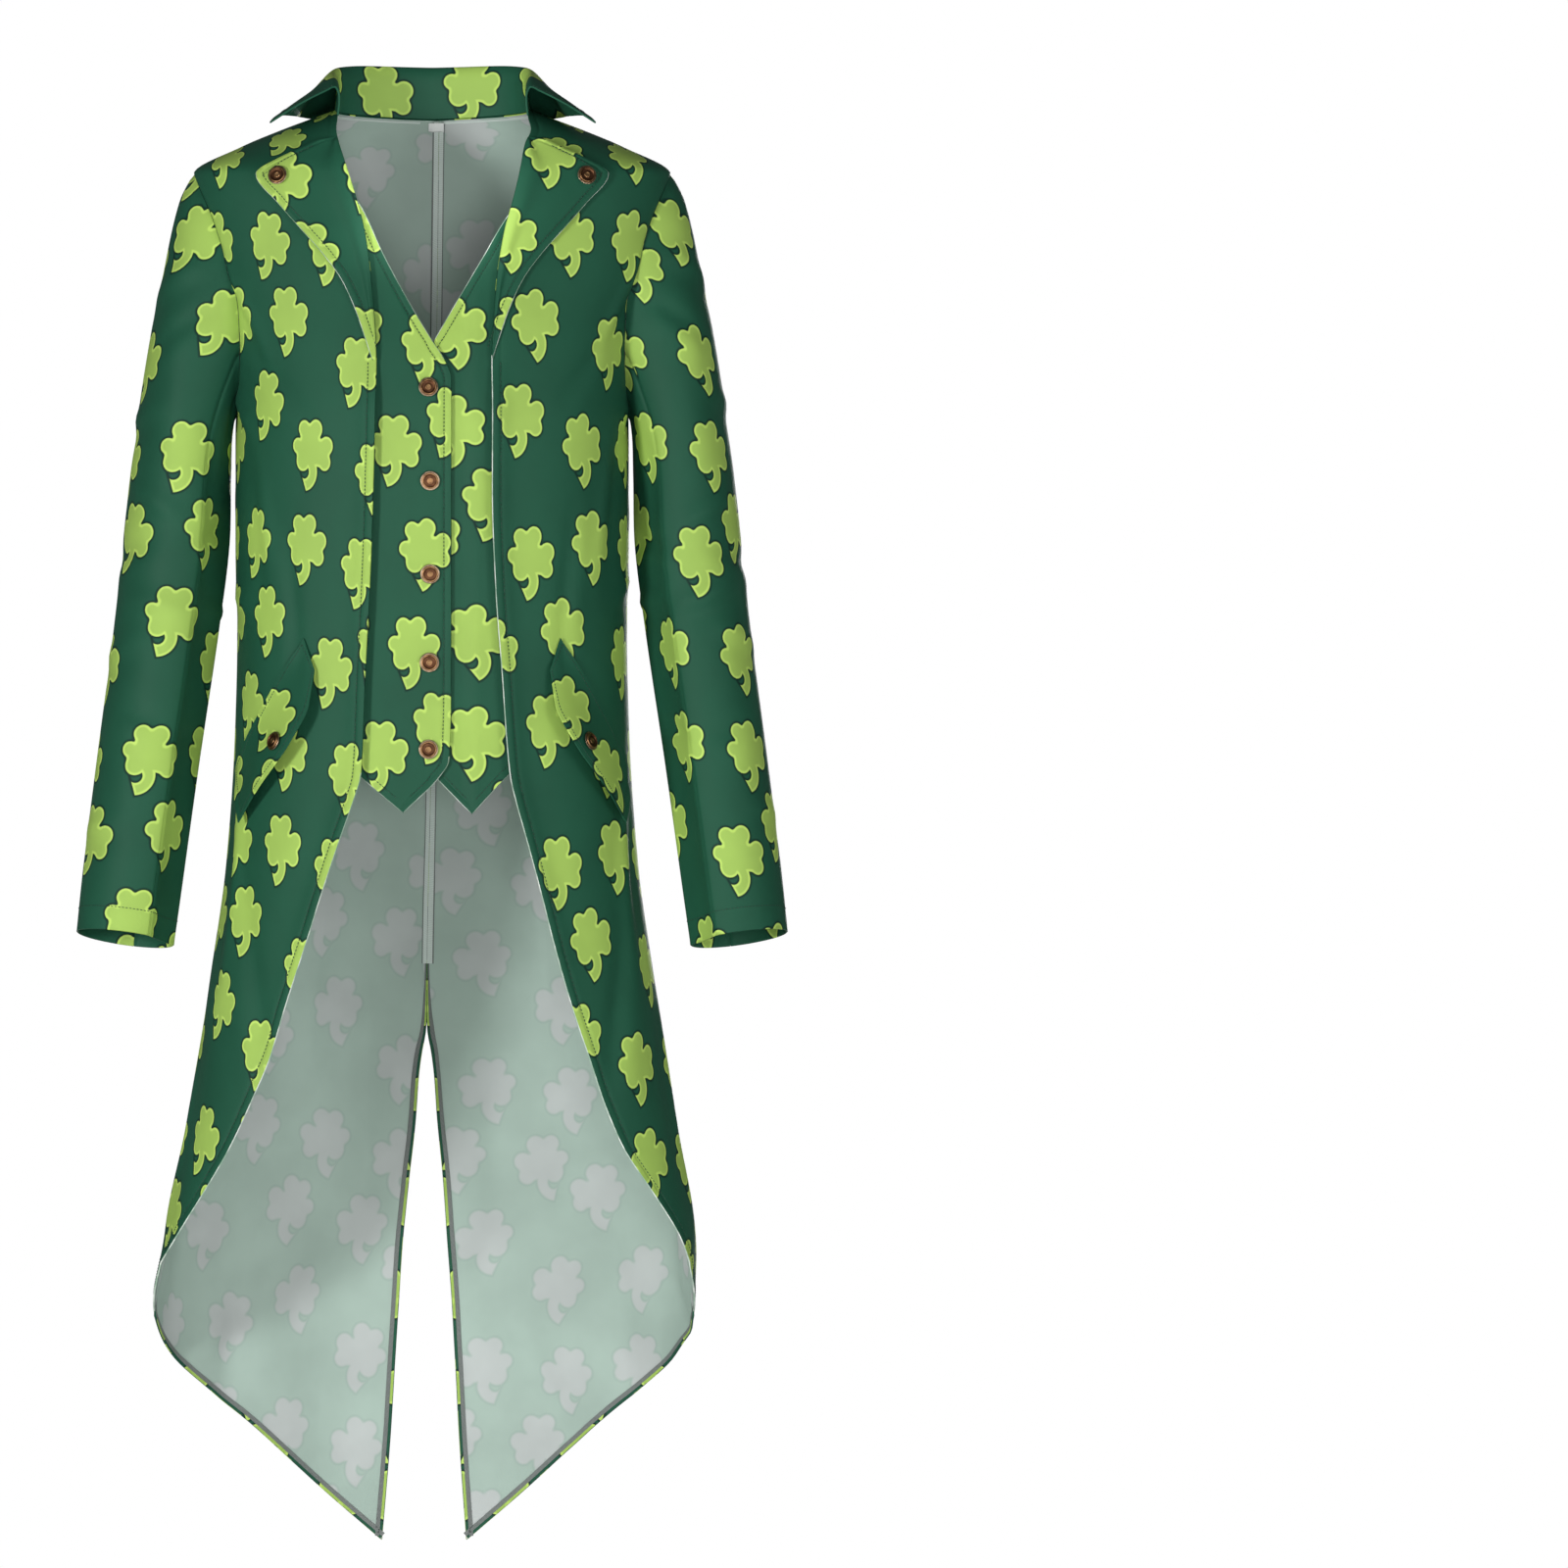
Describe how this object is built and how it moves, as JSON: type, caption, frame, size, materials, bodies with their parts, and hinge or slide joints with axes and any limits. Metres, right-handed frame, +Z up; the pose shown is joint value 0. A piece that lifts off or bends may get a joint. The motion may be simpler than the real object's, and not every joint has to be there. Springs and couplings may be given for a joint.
{
  "type": "printed tailcoat costume with attached waistcoat fronts",
  "caption": "Worn-form printed costume tailcoat, hollow, with folded collar, snapped-back lapels, sewn-in waistcoat fronts, pocket flaps, back half belt and pointed vented tails.",
  "frame": {"origin": "between the wearer's shoulders, at the height of the neck seam, where the wearer holds the coat up", "axes": "+Z up, the coat's front faces -Y, and the wearer's left is +X"},
  "size_m": [0.6132, 0.3102, 1.2829],
  "materials": {
    "printed_cloth": "satin-faced polyester twill, dark green with a light green shamrock print, pale grey-green inside",
    "label_tape": "matt white woven tape",
    "antique_bronze": "polished antique bronze with darker recesses"
  },
  "bodies": {
    "root": {"back_right": "printed_cloth", "back_left": "printed_cloth", "front_right": "printed_cloth", "front_left": "printed_cloth", "lapel_right": "printed_cloth", "lapel_left": "printed_cloth", "waistcoat_right": "printed_cloth", "waistcoat_left": "printed_cloth", "sleeve_upper_right": "printed_cloth", "sleeve_under_right": "printed_cloth", "sleeve_upper_left": "printed_cloth", "sleeve_under_left": "printed_cloth", "flap_right": "printed_cloth", "flap_left": "printed_cloth", "collar": "printed_cloth", "back_belt": "printed_cloth", "neck_label": "label_tape", "button_waistcoat_1": "antique_bronze", "button_waistcoat_2": "antique_bronze", "button_waistcoat_3": "antique_bronze", "button_waistcoat_4": "antique_bronze", "button_waistcoat_5": "antique_bronze", "button_lapel_right": "antique_bronze", "button_lapel_left": "antique_bronze", "button_flap_right": "antique_bronze", "button_flap_left": "antique_bronze", "button_belt_right": "antique_bronze", "button_belt_left": "antique_bronze", "button_cuff_right_1": "antique_bronze", "button_cuff_right_2": "antique_bronze", "button_cuff_right_3": "antique_bronze", "button_cuff_left_1": "antique_bronze", "button_cuff_left_2": "antique_bronze", "button_cuff_left_3": "antique_bronze"}
  },
  "joints": []
}
